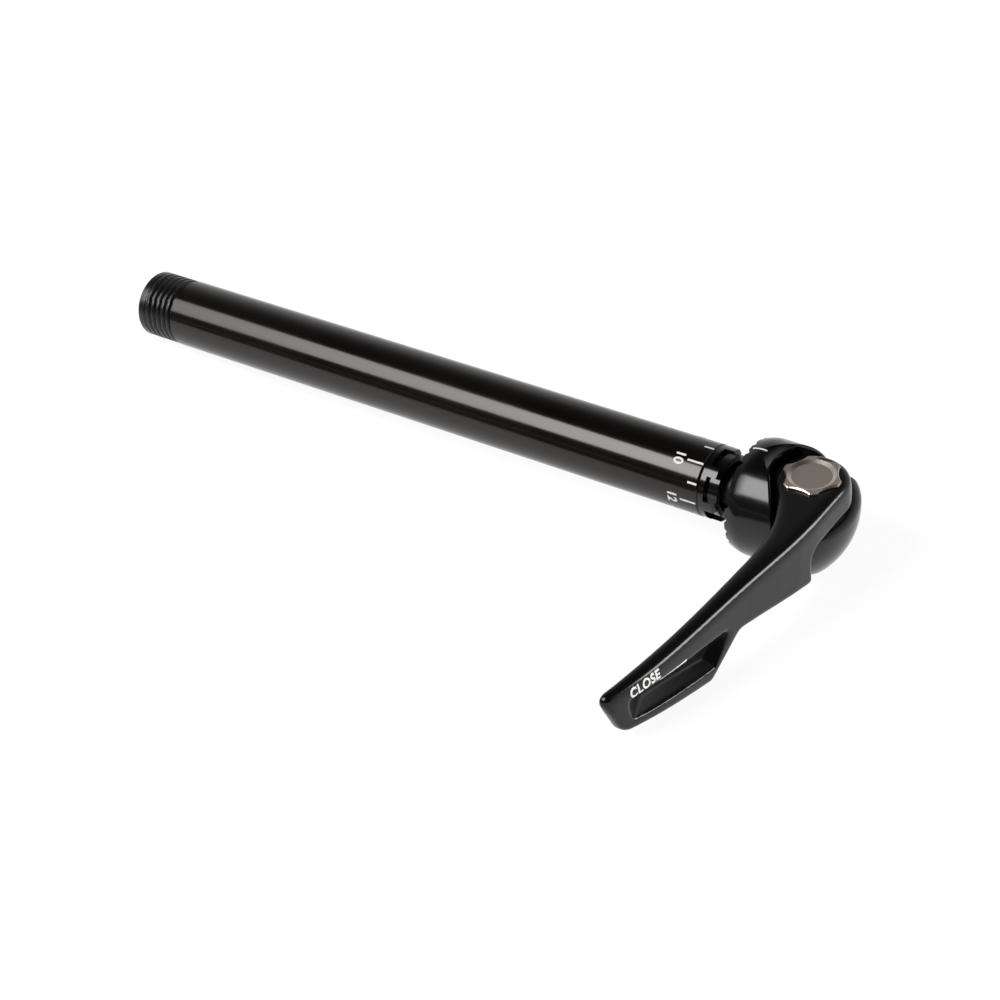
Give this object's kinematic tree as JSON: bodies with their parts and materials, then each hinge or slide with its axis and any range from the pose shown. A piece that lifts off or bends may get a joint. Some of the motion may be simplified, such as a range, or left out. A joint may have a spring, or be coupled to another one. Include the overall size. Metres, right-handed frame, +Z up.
{
  "type": "bicycle thru axle",
  "caption": "Front thru axle for a bicycle: hollow tube with a threaded end, slotted index ring, serrated collar and a cam lever folded across its head.",
  "frame": {"origin": "under the middle of the part's box, on the surface that it lies on", "axes": "+X along the axle from the thread end to the head, raised by under two degrees as it lies, +Z up, closed lever towards -Y"},
  "size_m": [0.1798, 0.0834, 0.024],
  "materials": {
    "tube_black": "gloss black anodised",
    "ring_black": "gloss black anodised",
    "rod_black": "black oxide",
    "spring_steel": "bright wire",
    "steel": "plain",
    "rubber": "matt",
    "housing_black": "gloss black anodised",
    "bronze": "plain",
    "lever_black": "satin black anodised",
    "star_metal": "warm nickel"
  },
  "bodies": {
    "axle": {"axle_tube": "tube_black", "index_ring": "ring_black"},
    "pusher": {"return_spring": "spring_steel", "thrust_washer": "steel"},
    "rod": {"hex_follower": "steel", "draw_rod": "rod_black", "neck_seal": "rubber"},
    "housing": {"cam_housing": "housing_black", "upper_bush": "bronze", "lower_bush": "bronze"},
    "lever": {"lever": "lever_black", "camshaft": "star_metal", "shaft_washer": "steel", "circlip": "spring_steel"}
  },
  "joints": [
    {"name": "head_push", "type": "slide", "parent": "axle", "child": "pusher", "axis": [-0.9996, 0, -0.0287], "range_m": [0, 0.004], "stiffness_N_per_m": 2500, "springref_m": -0.004, "deforming": ["return_spring"]},
    {"name": "index_turn", "type": "hinge", "parent": "pusher", "child": "rod", "pos_m": [0.05919, 0.02969, 0.01167], "axis": [0.9996, 0, 0.0287], "continuous": true},
    {"name": "cam_draw", "type": "slide", "parent": "rod", "child": "housing", "axis": [0.9996, 0, 0.0287], "range_m": [0, 0.00164]},
    {"name": "lever_swing", "type": "hinge", "parent": "housing", "child": "lever", "pos_m": [0.08153, 0.02969, 0.01231], "axis": [-0.0285, -0.1368, 0.9902], "range_deg": [0, 150]}
  ],
  "couplings": [
    {"joint": "cam_draw", "follows": "lever_swing", "m_per_rad": 0.000624}
  ]
}
